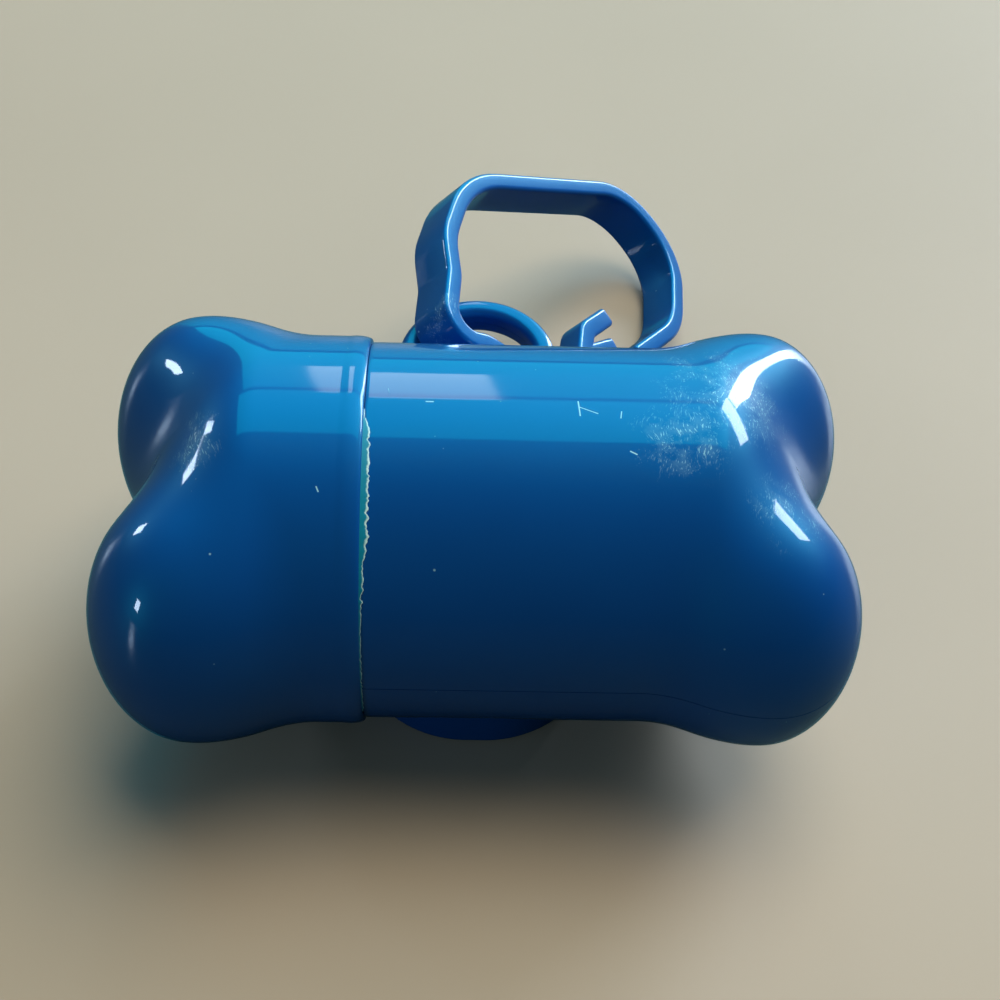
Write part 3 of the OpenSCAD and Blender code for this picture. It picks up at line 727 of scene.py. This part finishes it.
def wound_roll():
    """A tube of film with a wavering outside and slightly dished ends."""
    sides = 144
    turn = np.linspace(0, 2 * math.pi, sides, endpoint=False)
    rng = np.random.default_rng(7)
    waves = [(k, rng.uniform(0, 6.28), rng.uniform(0.2, 0.9)) for k in range(2, 9)]
    rings = []

    def ring(x, radius, waver):
        shift = sum(w * np.sin(k * turn + p + x * 0.05 * k) for k, p, w in waves) / len(waves)
        r = radius - 0.12 * waver * (1 - shift)
        return np.stack([np.full(sides, x), r * np.cos(turn), r * np.sin(turn) + ROLL_Z], axis=1)

    half = ROLL_LEN / 2
    for x in (half - 0.2, -half + 0.2):
        rings.append(ring(x, CORE_R + 0.02, 0))
    rings += [ring(-half + 0.06, CORE_R + 0.6, 0), ring(-half, CORE_R + 3, 0), ring(-half, ROLL_R - 1, 0.5),
              ring(-half + 0.25, ROLL_R - 0.15, 1)]
    rings += [ring(x, ROLL_R, 1) for x in np.linspace(-half + 0.7, half - 0.7, 50)]
    rings += [ring(half - 0.25, ROLL_R - 0.15, 1), ring(half, ROLL_R - 1, 0.5), ring(half, CORE_R + 3, 0),
              ring(half - 0.06, CORE_R + 0.6, 0), rings[0]]
    bm = grow_rings(rings, close_start=False, close_end=False)
    bmesh.ops.remove_doubles(bm, verts=bm.verts, dist=1e-5)
    bmesh.ops.recalc_face_normals(bm, faces=bm.faces)
    return bm


def first_bag_form():
    """The end of the film, off the bottom of the roll, round a soft bend and down one side of the slot."""
    lane, lift = 2.6, ROLL_R + 0.35
    line = [(lift * math.cos(a), lift * math.sin(a) + ROLL_Z) for a in np.radians(np.linspace(-114, -92, 12))]
    line += [(lane * math.cos(a), lane * (math.sin(a) - 1) + ROLL_Z - lift)
             for a in np.radians(np.linspace(90, 0, 12))]
    line += [(lane, z) for z in np.linspace(line[-1][1] - 0.4, 0.6, 8)]
    bm = bmesh.new()
    order = bm.verts.layers.int.new("order")
    row = [bm.verts.new((x, *line[0])) for x in np.linspace(-4.5, 4.5, 37)]
    edges = [bm.edges.new(pair) for pair in zip(row, row[1:])]
    for i, v in enumerate(row):
        v[order] = i
    for k, (y, z) in enumerate(line[1:], 1):
        grown = bmesh.ops.extrude_edge_only(bm, edges=edges)["geom"]
        fresh = {g for g in grown if isinstance(g, bmesh.types.BMVert)}
        for v in fresh:
            pleat = 0.09 * math.sin(v[order] * 1.15 + 0.25 * k) * min(k / 14, 1)
            v.co = Vector((v.co.x, y + pleat, z))
        edges = [g for g in grown if isinstance(g, bmesh.types.BMEdge)
                 and g.verts[0] in fresh and g.verts[1] in fresh]
    bmesh.ops.recalc_face_normals(bm, faces=bm.faces)
    bmesh.ops.solidify(bm, geom=bm.faces[:], thickness=0.12)
    return bm


make_piece(wound_roll(), "roll_of_bags", bag_film, "roll", replaces=("bag_roll",))
make_piece(first_bag_form(), "end_of_the_first_bag", bag_film, "shell", crisp=60, replaces=("first_bag",))

# %% [markdown]
# ## Floor, light and camera
# The holder lies on a plain pale worktop. Two window panes behind it on the right give the bright
# V on the right-hand lobes and the soft shadow towards the viewer. The ceiling and the walls light
# everything but aren't mirrored in the gloss, and two pale walls behind are only mirrored in it.

# %% Worktop
def worktop_material():
    """Pale laminate, a little uneven in tone, with a painted shade: darker where the holder's gloss mirrors it and
    in the light it bounces.
    """
    material, shader, place = new_material("pale matt laminate")
    tone = add_node(material, "ShaderNodeTexNoise", None,
                    {"Vector": place, "Scale": MM / 60, "Detail": 2.0}).outputs["Fac"]
    colour = add_node(material, "ShaderNodeMix", {"data_type": "RGBA"},
                      {"Factor": tone, "A": linear("#aca291"), "B": linear("#b4aa99")}).outputs["Result"]
    # Painted shade: every ray but the camera's sees a dark green-grey worktop. It stands in for the worktop's
    # shadow in the holder's reflections and in its bounced light.
    seen = add_node(material, "ShaderNodeLightPath").outputs["Is Camera Ray"]
    colour = add_node(material, "ShaderNodeMix", {"data_type": "RGBA"},
                      {"Factor": seen, "A": linear("#3a4c4a"), "B": colour}).outputs["Result"]
    material.node_tree.links.new(colour, shader.inputs["Base Color"])
    sheen = add_node(material, "ShaderNodeMapRange", None,
                     {"Value": seen, "To Min": 0.24, "To Max": 0.55}).outputs["Result"]
    material.node_tree.links.new(sheen, shader.inputs["Roughness"])
    return material


floor_bm = bmesh.new()
bmesh.ops.create_grid(floor_bm, x_segments=2, y_segments=2, size=1.5)
floor_mesh = bpy.data.meshes.new("worktop")
floor_bm.to_mesh(floor_mesh)
floor_bm.free()
floor_mesh.materials.append(worktop_material())
floor = bpy.data.objects.new("worktop", floor_mesh)
bpy.context.scene.collection.objects.link(floor)
print("worktop is", MM * floor.dimensions.x, "mm wide")

# %% Lights
TARGET = Vector((0.002159, 0.004189, 0.0221))
DAYLIGHT, GLASS, WARM = "#cfe6ff", "#dcecff", "#ffecd0"


def window(name, azimuth, elevation, away, width, height, strength, colour="#ffffff"):
    """A flat light at a direction from the holder: azimuth 0 is behind it, 90 is on its right."""
    lamp = bpy.data.lights.new(name, "AREA")
    lamp.shape = "RECTANGLE"
    lamp.size, lamp.size_y = width, height
    lamp.energy = strength
    lamp.color = linear(colour)[:3]
    a, e = math.radians(azimuth), math.radians(elevation)
    way = Vector((math.sin(a) * math.cos(e), math.cos(a) * math.cos(e), math.sin(e)))
    item = bpy.data.objects.new(name, lamp)
    item.matrix_world = Matrix.Translation(TARGET + way * away) @ way.to_track_quat("Z", "Y").to_matrix().to_4x4()
    bpy.context.scene.collection.objects.link(item)
    return item


window("right_window", 34, 11, 2.4, 0.38, 1.1, 24.0, GLASS)
window("window_top", 43, 33, 2.38, 1.15, 0.6, 33.0, GLASS)
window("door_gap", -2.3, 30, 2.38, 0.27, 1.0, 2.2)
window("left_lamp", -126, 13, 2.4, 0.24, 0.36, 5.0, DAYLIGHT)
window("left_window", -58, 19, 2.4, 0.22, 0.36, 4.5, DAYLIGHT)
for mirrored in (window("pale_wall", 2, 20, 2.42, 2.0, 1.6, 17.0, "#00e4ff"),
                 window("high_wall", 2, 56, 2.42, 2.4, 1.3, 24.0, "#00dcff")):
    mirrored.visible_diffuse = False
for soft in (window("ceiling", 42, 70, 2.4, 1.7, 1.7, 50.0, WARM),
             window("bright_wall", 78, 36, 2.4, 1.4, 1.2, 8.0),
             window("front_fill", -155, 50, 0.6, 0.5, 0.5, 0.1)):
    soft.visible_glossy = False
world = bpy.data.worlds.new("room")
bpy.context.scene.world = world
world.use_nodes = True
world.node_tree.nodes["Background"].inputs["Color"].default_value = linear("#a0dce6")
world.node_tree.nodes["Background"].inputs["Strength"].default_value = 0.08

# %% Camera
def aim_camera():
    """The photograph was taken from 52 degrees above, 182 mm from the holder, with the phone turned 3 degrees."""
    height, round_z, roll = math.radians(52.19), math.radians(-2.54), math.radians(3.12)
    back = Vector((math.sin(round_z) * math.cos(height), -math.cos(round_z) * math.cos(height), math.sin(height)))
    right = Vector((math.cos(round_z), math.sin(round_z), 0))
    up = back.cross(right)
    side = right * math.cos(roll) + up * math.sin(roll)
    top = up * math.cos(roll) - right * math.sin(roll)
    camera = bpy.data.cameras.new("phone")
    camera.sensor_width = 36.0
    camera.lens = 61.6
    camera.clip_start = 0.01
    item = bpy.data.objects.new("phone", camera)
    place = Matrix((side, top, back)).transposed().to_4x4()
    place.translation = TARGET + 0.18204 * back
    item.matrix_world = place
    bpy.context.scene.collection.objects.link(item)
    bpy.context.scene.camera = item


aim_camera()
bpy.context.scene.view_settings.view_transform = "Standard"
print("camera at", np.round(MM * np.array(bpy.context.scene.camera.matrix_world.translation), 1), "mm")
